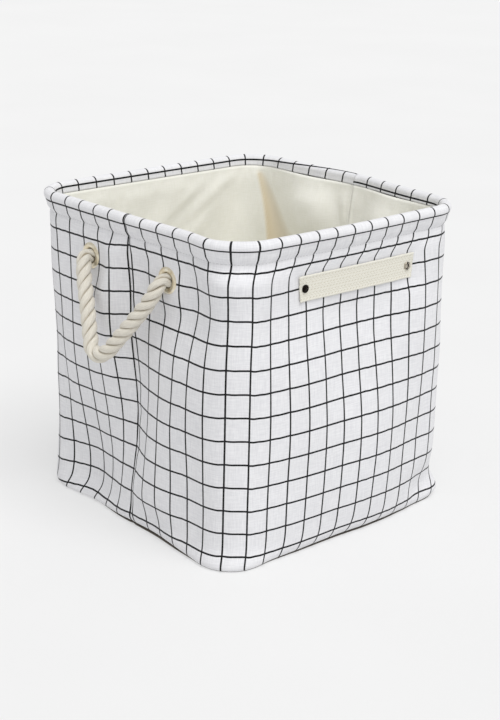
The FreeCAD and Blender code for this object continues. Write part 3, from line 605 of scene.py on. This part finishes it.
def shell_section():
    """The closed section of a wall as (out, height) points, from the foot's hidden edge under and up
    the outside, over the roll, down the doubled hem and back down the inside. Also the number of the
    rim line's point, and the first rows of the outer and inner wall faces with their count."""
    points = [(-FOOT_MARGIN, 0.0), (-FOOT_MARGIN * 0.8, 0.0)]
    turn = np.linspace(-math.pi / 2, 0, 9)
    points += [(FOOT_CURVE * (math.cos(a) - 1), FOOT_CURVE * (math.sin(a) + 1)) for a in turn]
    outer_from = len(points) - 1
    heights = wall_heights(FOOT_CURVE, HEM_Z - 0.004)
    points += [(0.0, z) for z in heights[1:]]
    band = [(-0.0001, -0.0018), (-0.0004, 0.0), (0.0002, 0.0020), (0.0012, 0.0052), (0.0022, 0.0088)]
    points += [(out, HEM_Z + up) for out, up in band]
    over = np.linspace(-math.radians(42), math.pi, 24)
    rim_at = int(np.argmin(np.abs(over - RIM_LINE)))
    over[rim_at] = RIM_LINE
    rim_row = len(points) + rim_at
    points += [(-ROLL_INSET + ROLL * math.cos(a), ROLL_Z + ROLL * math.sin(a)) for a in over]
    points += [(HEM_FACE - lean, LIP_Z + up) for lean, up in ((0.0002, 0.0030), (0.0006, 0.0015))]
    lip = np.linspace(math.radians(165), math.radians(265), 7)
    points += [(HEM_FACE - 0.0009 + LIP * (1 + math.cos(a)), LIP_Z + LIP * math.sin(a)) for a in lip]
    points += [(-0.0052, LIP_Z - 0.0025), (-2 * CANVAS, HEM_Z)]
    inner_from = len(points)
    points += [(-CANVAS, z) for z in [HEM_Z, *heights[::-1]]]
    inner_curve = FOOT_CURVE - CANVAS
    for a in turn[::-1][1:]:
        points.append((-FOOT_CURVE + inner_curve * math.cos(a), FOOT_CURVE + inner_curve * math.sin(a)))
    points.append((-FOOT_MARGIN, CANVAS))
    return np.array(points), rim_row, (outer_from, inner_from + 1, len(heights))


def eyelet_gaps(s, z):
    """Which cells of a wall's grid are cut away behind the eyelets."""
    middle_s, middle_z = (s[1:] + s[:-1]) / 2, (z[1:] + z[:-1]) / 2
    gap = np.zeros((len(middle_z), len(middle_s)), bool)
    for eyelet in EYELETS:
        gap |= np.hypot(around(middle_s, eyelet)[None, :], middle_z[:, None] - EYELET_Z) < HOLE
    return gap


def outer_panel(name, first, last, material, print_coordinates):
    """Half of the printed shell, with its rolled hem, from one seam to the other."""
    section, rim_row, (outer_from, inner_from, count) = shell_section()
    s = np.linspace(first, last, WALL_COLUMNS)
    points = wall_point(s[None, :], section[:, 1][:, None], section[:, 0][:, None])
    along, down = running(points, 1), running(points, 0)
    hem_row = outer_from + count + 1  # from here over the roll, the print keeps its spacing
    along[hem_row:inner_from] = along[hem_row]
    cloth = print_coordinates(s, along, down[rim_row][None, :] - down)
    rows, columns = points.shape[:2]
    heights = section[outer_from : outer_from + count, 1]
    gap = eyelet_gaps(s, heights)
    skip = np.zeros((rows, columns), bool)
    skip[outer_from : outer_from + count - 1, : columns - 1] = gap
    skip[inner_from : inner_from + count - 1, : columns - 1] = gap[::-1]
    faces = grid_faces(rows, columns, close_rows=True, skip=skip)
    outer = lambda r, c: int((outer_from + r) * columns + c)
    inner = lambda r, c: int((inner_from + count - 1 - r) * columns + c)
    for r, c in np.argwhere(gap):
        corners = [(r, c), (r, c + 1), (r + 1, c + 1), (r + 1, c)]
        beside = [(r - 1, c), (r, c + 1), (r + 1, c), (r, c - 1)]
        for k, (nr, nc) in enumerate(beside):
            if not gap[nr, nc]:
                a, b = corners[k], corners[(k + 1) % 4]
                faces.append([outer(*a), outer(*b), inner(*b), inner(*a)])
    faces.append([r * columns for r in range(rows)])
    faces.append([r * columns + columns - 1 for r in range(rows)])
    verts, coordinates = points.reshape(-1, 3), cloth.reshape(-1, 2)
    return add_object(name, verts, faces, material, {"cloth": coordinates})


def front_print(s, along, down):
    """Where the print lies on the front panel: a line passes down the left front corner."""
    start = np.array([np.interp(GRID_FROM, s, row) for row in along])
    return np.stack([along - start[:, None] - 0.0035, down - 0.0016], -1)


def back_print(s, along, down):
    """Where the print lies on the back panel: a line runs down the left seam. Its rows are a little
    lower than the front panel's, and it was drawn up over the roll towards the right seam."""
    to_seam = along[:, -1:] - along
    from_left = (ROUND - s)[None, :]
    rim = (0.0022 * ease(from_left / 0.2) + 0.0080 * ease((from_left - 0.468) / 0.150)) * ease(-down / 0.012)
    wall = (0.0043 * ease(from_left / 0.035) + 0.016 * from_left) * ease(down / 0.025)
    return np.stack([to_seam - 0.0008, down - 0.0025 - rim - wall], -1)


def floor_sheet(name, material, inset, level, thickness, seed, lift):
    """A base panel: a sheet that fills the outline inside the walls' feet."""
    s = np.linspace(0, ROUND, 241)[:-1]
    point, outward = plan(s)
    edge = point + outward * (wall_offset(s, np.full(s.shape, level)) - inset)[:, None]
    shares = 1 - np.linspace(0, 1, 33)[:-1]
    rings = edge[None] * shares[:, None, None]
    waves = value_noise(rings[..., 0] + 1, rings[..., 1] + 1, 0.05, seed) * 0.5 + 0.5
    rise = lift * waves * ease((1 - shares) / 0.2)[:, None]
    top = np.concatenate([rings, (level + thickness + rise)[..., None]], -1)
    bottom = np.concatenate([rings, (level + rise * (level > 0))[..., None]], -1)
    rows, columns = rings.shape[:2]
    verts = np.concatenate([bottom.reshape(-1, 3), top.reshape(-1, 3)])
    size = rows * columns
    faces = grid_faces(rows, columns, close_columns=True)
    faces += [[i + size for i in face[::-1]] for face in faces]
    wrap = [(c + 1) % columns for c in range(columns)]
    faces += [[c, wrap[c], wrap[c] + size, c + size] for c in range(columns)]
    last = (rows - 1) * columns
    faces.append([last + c for c in range(columns)])
    faces.append([last + c + size for c in range(columns)])
    return add_object(name, verts, faces, material, {"cloth": verts[:, :2]})


def stitches(name, material, first, last, z, out, length, pitch):
    """A row of lock stitches along a wall, each a short spindle of thread."""
    count = int((last - first) / pitch)
    middle = first + (np.arange(count) + 0.5) * (last - first) / count
    turns, rings = 6, 5
    t = np.linspace(-1, 1, rings)
    spindle = np.sqrt(np.maximum(1 - t**4, 0)) * 0.00028 + 0.00004
    verts, faces = [], []
    for i, m in enumerate(middle):
        s = m + t * length / 2
        line = wall_point(s, np.full(rings, z), np.full(rings, out) - 0.0002 * t**2)
        direction = (line[-1] - line[0]) / np.linalg.norm(line[-1] - line[0])
        side = np.cross(direction, (0, 0, 1))
        up = np.cross(side, direction)
        angle = np.arange(turns) * 2 * math.pi / turns
        circle = np.cos(angle)[:, None] * side + np.sin(angle)[:, None] * up
        verts.append((line[:, None] + circle[None] * spindle[:, None, None]).reshape(-1, 3))
        faces += tube_faces(rings, turns, i * rings * turns)
    return add_object(name, np.concatenate(verts), faces, material)


# ---------------------------------------------------------------- lining


# Folds of the loose lining: (s, z, reach along s, reach along z, how far in, lean of the fold).
FOLDS = [
    (0.849, 0.303, 0.013, 0.024, 0.0022, -1.35),  # soft diagonals on the back wall
    (0.885, 0.305, 0.011, 0.018, 0.0014, -1.30),
    (0.872, 0.262, 0.015, 0.032, 0.0022, -1.00),
    (0.930, 0.270, 0.018, 0.045, 0.0035, -0.50),
    (1.000, 0.240, 0.020, 0.060, 0.0050, -0.40),
    (0.634, 0.303, 0.006, 0.020, 0.0022, 0.25),  # the tuck at the seam of the right wall
    (0.665, 0.215, 0.018, 0.060, 0.0030, -0.10),
    (0.520, 0.160, 0.018, 0.100, 0.0080, 0.20),
    (1.085, 0.170, 0.018, 0.110, 0.0120, 0.10),
    (1.130, 0.140, 0.020, 0.090, 0.0070, -0.20),
    (0.170, 0.170, 0.016, 0.110, 0.0100, -0.10),
    (0.120, 0.150, 0.020, 0.100, 0.0080, 0.15),
    (0.300, 0.180, 0.030, 0.080, 0.0050, 0.40),
    (0.390, 0.140, 0.022, 0.080, 0.0060, -0.30),
    (0.450, 0.170, 0.016, 0.110, 0.0110, 0.10),
]


FOLD_DROP = 0.105  # how far down from the lining's top the corner's fold goes on opening


def fold_place(s, z):
    """How far down the corner's fold a point is, as a share, and how far beside its crest."""
    drop = np.clip((LINING_TOP - z) / FOLD_DROP, 0, 1.5)
    return drop, around(s, 0.779 - 0.038 * drop)


def corner_fold(s, z):
    """The fold where the lining doesn't reach into the right back corner. It opens out from the rim
    downward, easily towards the back wall and steeply towards the right one."""
    drop, beside = fold_place(s, z)
    reach = np.where(beside > 0, 0.010 + 0.050 * drop, 0.003 + 0.010 * drop)
    return 0.016 * drop**0.8 * np.exp(-(np.abs(beside / reach) ** 1.7)) * ease(z / 0.12)


def corner_painted_shade(s, z):
    """Painted shade, warm with light bounced off the cotton, on the deep side of that fold."""
    drop, beside = fold_place(s, z)
    fade = 1 + beside / (0.008 + 0.046 * drop)
    start = ease((drop - 0.04) / 0.06) * ease(z / 0.15)
    return ease((0.0025 - beside) / 0.006) * np.clip(fade, 0, 1) ** 0.8 * start


def lining_slack(s, z):
    """How far the lining stands in from the shell, over its nominal place."""
    s, z = np.broadcast_arrays(s, z)
    inward = np.zeros(s.shape)
    for middle, height, reach, tall, amount, lean in FOLDS:
        beside = around(s, middle) - lean * (z - height)
        inward += amount * np.exp(-((beside / reach) ** 2) - ((z - height) / tall) ** 2)
    soft = 0.5 + 0.5 * value_noise(s, z * 0.7, 0.035, 21)
    fine = 0.5 + 0.5 * value_noise(s, z * 0.5, 0.013, 22)
    inward += 0.0018 * soft + 0.0005 * fine
    inward *= ease((LINING_TOP - z) / 0.018) * ease(z / 0.02)
    inward = inward + corner_fold(s, z)
    for eyelet in EYELETS:
        apart = np.hypot(around(s, eyelet), z - EYELET_Z)
        over_knot = 0.0128 * np.exp(-((np.maximum(apart - 0.007, 0) / 0.030) ** 2))
        inward = np.maximum(inward, over_knot)
    return inward


def lining_panel(name, first, last, material):
    """Half of the lining, from its sewn top edge down to its turn over the base."""
    face = -2 * CANVAS - GAP
    level = CANVAS + GAP
    curve = FOOT_CURVE + face
    turn = np.linspace(-math.pi / 2, 0, 7)
    foot = [(face - curve + curve * math.cos(a), level + curve + curve * math.sin(a)) for a in turn]
    heights = wall_heights(level + curve, LINING_TOP)[1:]
    outer = np.array([(-FOOT_MARGIN, level), *foot, *[(face, z) for z in heights]])
    rise = np.clip((outer[:, 1] - LINING_FREE) / (LINING_TOP - LINING_FREE), 0, 1)
    outer[:, 0] += (HEM_FACE + LIP - 0.0010 - face) * rise**1.2 + hem_crease(outer[:, 1])
    step = (last - first) / (WALL_COLUMNS - 1)
    s = np.linspace(first - step, last + step, WALL_COLUMNS + 2)  # one past each seam, for its normals
    out = outer[:, 0][:, None] - lining_slack(s[None, :], outer[:, 1][:, None])
    points = wall_point(s[None, :], outer[:, 1][:, None], out)
    across = np.gradient(points, axis=1)
    upward = np.gradient(points, axis=0)
    inward = np.cross(across, upward)
    inward /= np.linalg.norm(inward, axis=2, keepdims=True)
    flip = np.sign((inward[..., :2] * -points[..., :2]).sum(-1).mean())
    s, points, inward = s[1:-1], points[:, 1:-1], inward[:, 1:-1]
    inner = points + inward * flip * LINING
    cloth = np.stack([running(points, 1), running(points, 0)], -1)
    rows, columns = points.shape[:2]
    verts = np.concatenate([points.reshape(-1, 3), inner.reshape(-1, 3)])
    coordinates = np.tile(cloth.reshape(-1, 2), (2, 1))
    # painted shade in the corner fold's hollow
    hollow_shade = corner_painted_shade(s[None, :], outer[:, 1][:, None])
    hollow_shade = np.tile(np.broadcast_to(hollow_shade, (rows, columns)).reshape(-1), 2)
    attributes = {"cloth": coordinates, "depth": hollow_shade}
    return add_object(name, verts, two_layer_faces(rows, columns), material, attributes)


# ---------------------------------------------------------------- ropes


def spline_points(points, resolution=24):
    """The points of a smooth curve that a route's points control."""
    data = bpy.data.curves.new("route", "CURVE")
    data.dimensions = "3D"
    spline = data.splines.new("NURBS")
    spline.points.add(len(points) - 1)
    for point, place in zip(spline.points, points):
        point.co = (*place, 1)
    spline.order_u = 3
    spline.use_endpoint_u = True
    spline.resolution_u = resolution
    holder = bpy.data.objects.new("route", data)
    mesh = bpy.data.meshes.new_from_object(holder)
    line = np.array([v.co for v in mesh.vertices])
    bpy.data.objects.remove(holder)
    bpy.data.curves.remove(data)
    bpy.data.meshes.remove(mesh)
    return line


def even_steps(line, step):
    """The line again, with points evenly spaced along it, and how far along each one is."""
    along = np.concatenate([[0], np.cumsum(np.linalg.norm(np.diff(line, axis=0), axis=1))])
    at = np.linspace(0, along[-1], int(along[-1] / step) + 1)
    return np.stack([np.interp(at, along, line[:, k]) for k in range(3)], 1), at


def frames_along(line):
    """Directions along a line, and two more across it that don't twist."""
    ahead = np.gradient(line, axis=0)
    ahead /= np.linalg.norm(ahead, axis=1, keepdims=True)
    side = np.zeros_like(line)
    start = np.cross(ahead[0], (0.3, 0.2, 1.0))
    for i, direction in enumerate(ahead):
        start = start - direction * (start @ direction)
        start /= np.linalg.norm(start)
        side[i] = start
    return ahead, side, np.cross(ahead, side)


def laid_rope(name, line, diameter, lay, material, phase=0.0, swell=0.0, neck=0.0):
    """A rope of three twisted strands along a line, each one made of yarns. It swells beyond its
    necks, the lengths at its ends that an eyelet squeezes."""
    line, at = even_steps(line, 0.0009)
    _, side, up = frames_along(line)
    full = 1 + swell * ease((np.minimum(at, at[-1] - at) - neck) / 0.012)
    strand = diameter / 2 / (1 + 2 / math.sqrt(3))
    orbit = (diameter / 2 - 0.92 * strand) * full
    rows, turns = len(line), 36
    verts, faces, cloth, depth = [], [], [], []
    for k in range(3):
        angle = phase + 2 * math.pi * (at / lay + k / 3)
        wobble = full * (1 + 0.05 * value_noise(at, at * 0 + k, 0.02, 31 + k))
        out = np.cos(angle)[:, None] * side + np.sin(angle)[:, None] * up
        middle = line + out * orbit[:, None]
        s_ahead = np.gradient(middle, axis=0)
        s_ahead /= np.linalg.norm(s_ahead, axis=1, keepdims=True)
        s_out = out - s_ahead * (out * s_ahead).sum(1)[:, None]
        s_out /= np.linalg.norm(s_out, axis=1, keepdims=True)
        s_side = np.cross(s_ahead, s_out)
        around_strand = np.arange(turns) * 2 * math.pi / turns
        off_top = np.minimum(around_strand, 2 * math.pi - around_strand)
        flat = 1 - 0.09 * np.exp(-((off_top / 0.65) ** 2)) + 0.05 * np.exp(-(((off_top - 1.15) / 0.4) ** 2))
        yarns = 9 * around_strand[None, :] + 2 * math.pi * at[:, None] / 0.030
        ridge = np.abs(np.sin(yarns / 2)) ** 0.7
        fuzz = value_noise(at[:, None] + k, around_strand[None, :] * 0.004, 0.0022, 40 + k)
        radius = strand * wobble[:, None] * flat * (0.985 + 0.045 * ridge) + 0.00008 * fuzz
        spoke = np.cos(around_strand)[None, :, None] * s_out[:, None]
        spoke = spoke + np.sin(around_strand)[None, :, None] * s_side[:, None]
        verts.append((middle[:, None] + spoke * radius[..., None]).reshape(-1, 3))
        faces += tube_faces(rows, turns, rows * turns * k)
        u = np.repeat(at[:, None], turns, 1)
        v = around_strand[None, :] * strand + at[:, None] * 0.6 + k
        cloth.append(np.stack([u, v], -1).reshape(-1, 2))
        # painted shade on each strand's side towards the rope's core and between its yarns
        hollow_shade = 0.5 - 0.5 * np.cos(around_strand)[None, :] + 0.25 * (1 - ridge)
        depth.append(np.broadcast_to(hollow_shade, (rows, turns)).reshape(-1))
    attributes = {"cloth": np.concatenate(cloth), "depth": np.concatenate(depth)}
    return add_object(name, np.concatenate(verts), faces, material, attributes)


def handle_route(end):
    """A handle's route from knot to knot: out along the front eyelet's axis, down the loop, up
    again and in along the back eyelet's axis."""
    def loop_point(y, down):
        out = WALL + HINGE_OUT + down * math.sin(HANDLE_LEAN)
        return (end * out, y, EYELET_Z - down * math.cos(HANDLE_LEAN))
    lower = [0.0] * (len(HALF_LOOP) - 1) + [LOWEST]
    halves = list(zip(HALF_LOOP, FRONT_SLIP, BACK_SLIP, lower))
    front = [loop_point(-y + slip, down + low) for (y, down), slip, _, low in halves]
    back = [loop_point(y + slip, down + low) for (y, down), _, slip, low in reversed(halves)]
    inside = [(end * (WALL - KNOT_DEPTH), EYELET_Y), (end * (WALL + 0.002), EYELET_Y)]
    first = [(x, -y, EYELET_Z) for x, y in inside]
    last = [(x, y, EYELET_Z) for x, y in reversed(inside)]
    return first + front + back + last


def knot_line(end, side):
    """The stopper knot's rope: a flat coil of a turn and a half behind the eyelet's washer."""
    turn = np.linspace(0, 3 * math.pi, 90)
    radius = 0.0085 - 0.0010 * turn / turn[-1]
    x = end * (WALL - 0.0080 + 0.0006 * np.cos(turn * 1.3))
    y = side * EYELET_Y + radius * np.cos(turn)
    return np.stack([np.broadcast_to(x, y.shape), y, EYELET_Z + radius * np.sin(turn)], 1)


def make_handle(name, end, material):
    """A rope handle from knot to knot, built hanging at rest; on the bin its loop swings. Its knots stay with
    the bin.
    """
    line = spline_points(handle_route(end))
    rope = laid_rope(f"rope_{name}", line, ROPE, 0.040, material, phase=0.6, swell=0.12, neck=0.017)
    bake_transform(rope)
    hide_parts(f"rope_handle_{name}")
    for side_name, side in (("front", -1), ("back", 1)):
        coil = knot_line(end, side)
        knot = laid_rope(f"knot_{name}_{side_name}", coil, 0.0088, 0.026, material)
        declare(knot, "root", "cotton_rope", f"rope_end_{name}_{side_name}")


# ---------------------------------------------------------------- rim wire, label


def tube(name, line, radius, material):
    """A plain round bar along a line."""
    turns = 12
    _, side, up = frames_along(line)
    angle = np.arange(turns) * 2 * math.pi / turns
    circle = np.cos(angle)[None, :, None] * side[:, None] + np.sin(angle)[None, :, None] * up[:, None]
    verts = (line[:, None] + circle * radius).reshape(-1, 3)
    return add_object(name, verts, tube_faces(len(line), turns), material)


def make_rim_wire(material):
    """The wire inside the roll, bent as the rim is, and the sleeve over its ends."""
    centre = lambda s: wall_point(s, np.full(s.shape, ROLL_Z), np.full(s.shape, -ROLL_INSET))
    wire = tube("hem_wire", centre(SEAM_RIGHT + np.linspace(0.0003, ROUND - 0.0003, 500)), 0.0025, material)
    sleeve = tube("hem_wire_sleeve", centre(SEAM_RIGHT + np.linspace(-0.018, 0.018, 25)), 0.0036, material)
    declare(wire, "root", "wire_steel", "rim_wire")
    declare(sleeve, "root", "wire_steel", "rim_wire_sleeve")


def make_label(material):
    """The webbing label: a tape woven in lanes of slanted dashes. It lies close at its rivets, stands
    a little off the wall between them, and curls at its ends and edges."""
    length, width = LABEL_HIGH.x - LABEL_LOW.x, LABEL_HIGH.z - LABEL_LOW.z
    thick = LABEL_HIGH.y - LABEL_LOW.y
    cell = 0.0004
    columns, rows = int(length / cell), int(width / cell)
    u, v = np.meshgrid(np.linspace(0, length, columns), np.linspace(0, width, rows))
    lane = width / 10
    row = np.floor(v / lane)
    dash = 0.0045  # pitch of the dashes along a lane
    wavy = v + 0.0005 * np.sin(2 * math.pi * (u / dash + row * 0.5))
    groove = (0.5 + 0.5 * np.cos(2 * math.pi * wavy / lane)) ** 1.3
    dashes = 0.5 + 0.5 * np.sin(2 * math.pi * (u / dash + v / lane * 0.35 + (row % 2) * 0.5))
    ends = np.minimum(u, length - u)
    edge = np.minimum(v, width - v)
    selvedge = ease(edge / 0.0012)
    relief = 1 - groove * (0.10 + 0.90 * dashes)
    from_rivet = np.minimum(np.abs(u - LABEL_RIVET), np.abs(length - LABEL_RIVET - u))
    rivet = np.hypot(from_rivet, v - width / 2)
    flat_at_rivet = ease((rivet - 0.0035) / 0.009)
    between = np.clip((u - LABEL_RIVET) / (length - 2 * LABEL_RIVET), 0, 1)
    bow = 0.0010 * np.sin(math.pi * between) ** 0.6
    curl = 0.0011 * ease(1 - ends / 0.008) * ease((rivet - 0.004) / 0.006)
    curl += 0.0005 * ease(1 - edge / 0.005) * flat_at_rivet
    stand = (bow + curl + 0.0002 * value_noise(u, v, 0.02, 51)) * flat_at_rivet
    ravel = 0.0004 * value_noise(v, v * 0, 0.0012, 53) * ease(1 - ends / 0.0015)
    side_wave = 0.00015 * value_noise(u, u * 0, 0.004, 54) * ease(1 - edge / 0.0015)
    taper = 0.0024 * (1 - v / width) * (1 - 2 * u / length)
    x = LABEL_LOW.x + u + ravel + taper
    z = LABEL_LOW.z + v + side_wave
    round_edge = 1 - 0.35 * (1 - ease(np.minimum(edge, ends) / 0.0009))
    front = LABEL_HIGH.y - 0.00002 - stand - (thick - 0.0002) * round_edge - 0.00030 * relief * selvedge
    back = LABEL_HIGH.y - 0.00002 - stand - 0.0002 * (1 - round_edge)
    verts = np.concatenate([np.stack([x, y, z], -1).reshape(-1, 3) for y in (front, back)])
    faces = two_layer_faces(rows, columns)
    cloth = np.tile(np.stack([u, v], -1).reshape(-1, 2), (2, 1))
    # painted shade in the grooves between the woven dashes
    hollow_shade = np.tile(((1 - relief) * selvedge).reshape(-1), 2)
    tape = add_object("webbing_label", verts, faces, material, {"cloth": cloth, "depth": hollow_shade})
    declare(tape, "root", "cotton_webbing", "label_tape")


def make_rivet_cap(side, material):
    """A label rivet's cap: a shallow dome, a groove and a rolled rim."""
    low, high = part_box(f"label_rivet_cap_{side}")
    # the cap's profile from its middle out: shares of its radius and of its height
    share = np.array([0.03, 0.22, 0.44, 0.58, 0.68, 0.77, 0.88, 0.96, 1.0, 0.97])
    stand = np.array([0.95, 0.91, 0.76, 0.54, 0.36, 0.62, 0.82, 0.64, 0.25, 0.0]) * (high.y - low.y)
    radius = share * ((high.x - low.x) / 2 + 0.0006)
    turns = 48
    angle = np.arange(turns) * 2 * math.pi / turns
    x = (low.x + high.x) / 2 + radius[:, None] * np.cos(angle)
    z = (low.z + high.z) / 2 + radius[:, None] * np.sin(angle)
    y = np.broadcast_to((high.y - stand)[:, None], x.shape)
    faces = tube_faces(len(share), turns)
    cap = add_object(f"rivet_cap_{side}", np.stack([x, y, z], -1).reshape(-1, 3), faces, material)
    declare(cap, "root", "rivet_metal", f"label_rivet_cap_{side}")


# ---------------------------------------------------------------- the bin

make_camera()

rope_finish = rope_material()
for handle_name, handle_end in (("left", -1), ("right", 1)):
    make_handle(handle_name, handle_end, rope_finish)

make_studio()

canvas = canvas_material()
for half, first, last, layout in (
    ("front", SEAM_LEFT, SEAM_RIGHT, front_print),
    ("back", SEAM_RIGHT, ROUND, back_print),
):
    shell = outer_panel(f"shell_{half}", first, last, canvas, layout)
    declare(shell, "root", "printed_canvas", f"outer_{half}_panel")
base = floor_sheet(
    "shell_base", canvas, inset=FOOT_MARGIN - GAP, level=0.0, thickness=CANVAS, seed=61, lift=0.0
)
declare(base, "root", "printed_canvas", "outer_base_panel")

thread = thread_material()
hem_stitches = stitches(
    "hem_stitches", thread, SEAM_LEFT, ROUND, HEM_Z, out=-0.0003, length=0.0030, pitch=0.0042
)
declare(hem_stitches, "root", "printed_canvas")

cotton = lining_material()
for half, first, last in (("front", SEAM_LEFT, SEAM_RIGHT), ("back", SEAM_RIGHT, ROUND)):
    lining = lining_panel(f"lining_{half}", first, last, cotton)
    declare(lining, "root", "lining_cloth", f"lining_{half}_panel")
bottom = floor_sheet(
    "lining_base",
    cotton,
    inset=FOOT_MARGIN - 2 * GAP,
    level=CANVAS + GAP,
    thickness=LINING,
    seed=62,
    lift=0.0015,
)
declare(bottom, "root", "lining_cloth", "lining_base_panel")

make_rim_wire(metal_material("wire_steel", colour(170, 170, 172), colour(120, 120, 122), 0.35))
make_label(webbing_material())

brass = metal_material("eyelet_brass", colour(236, 230, 212), colour(212, 197, 166), 0.30)
# painted highlight on the dark cap's flank and painted shade on the bright cap's flank
painted_highlight_flank, painted_shade_flank = (colour(170, 160, 144), 0.30, 0.62), (colour(24, 20, 17), -0.20, 0.02)
# both rivets are one plated metal, tinted near black on the left and pale on the right as painted reflections
dark_reflection_metal = metal_material("rivet_painted_dark", colour(40, 35, 31), colour(24, 21, 19), 0.16, painted_highlight_flank)
bright_reflection_metal = metal_material("rivet_painted_bright", colour(196, 188, 174), colour(160, 152, 140), 0.18, painted_shade_flank)
make_rivet_cap("left", dark_reflection_metal)
make_rivet_cap("right", bright_reflection_metal)
for node_name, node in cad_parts.items():
    if node_name.startswith("eyelet"):
        finish = brass
    elif node_name.startswith("label_rivet_post"):
        finish = dark_reflection_metal if node_name.endswith("left") else bright_reflection_metal
    else:
        continue
    node.data.materials.clear()
    node.data.materials.append(finish)
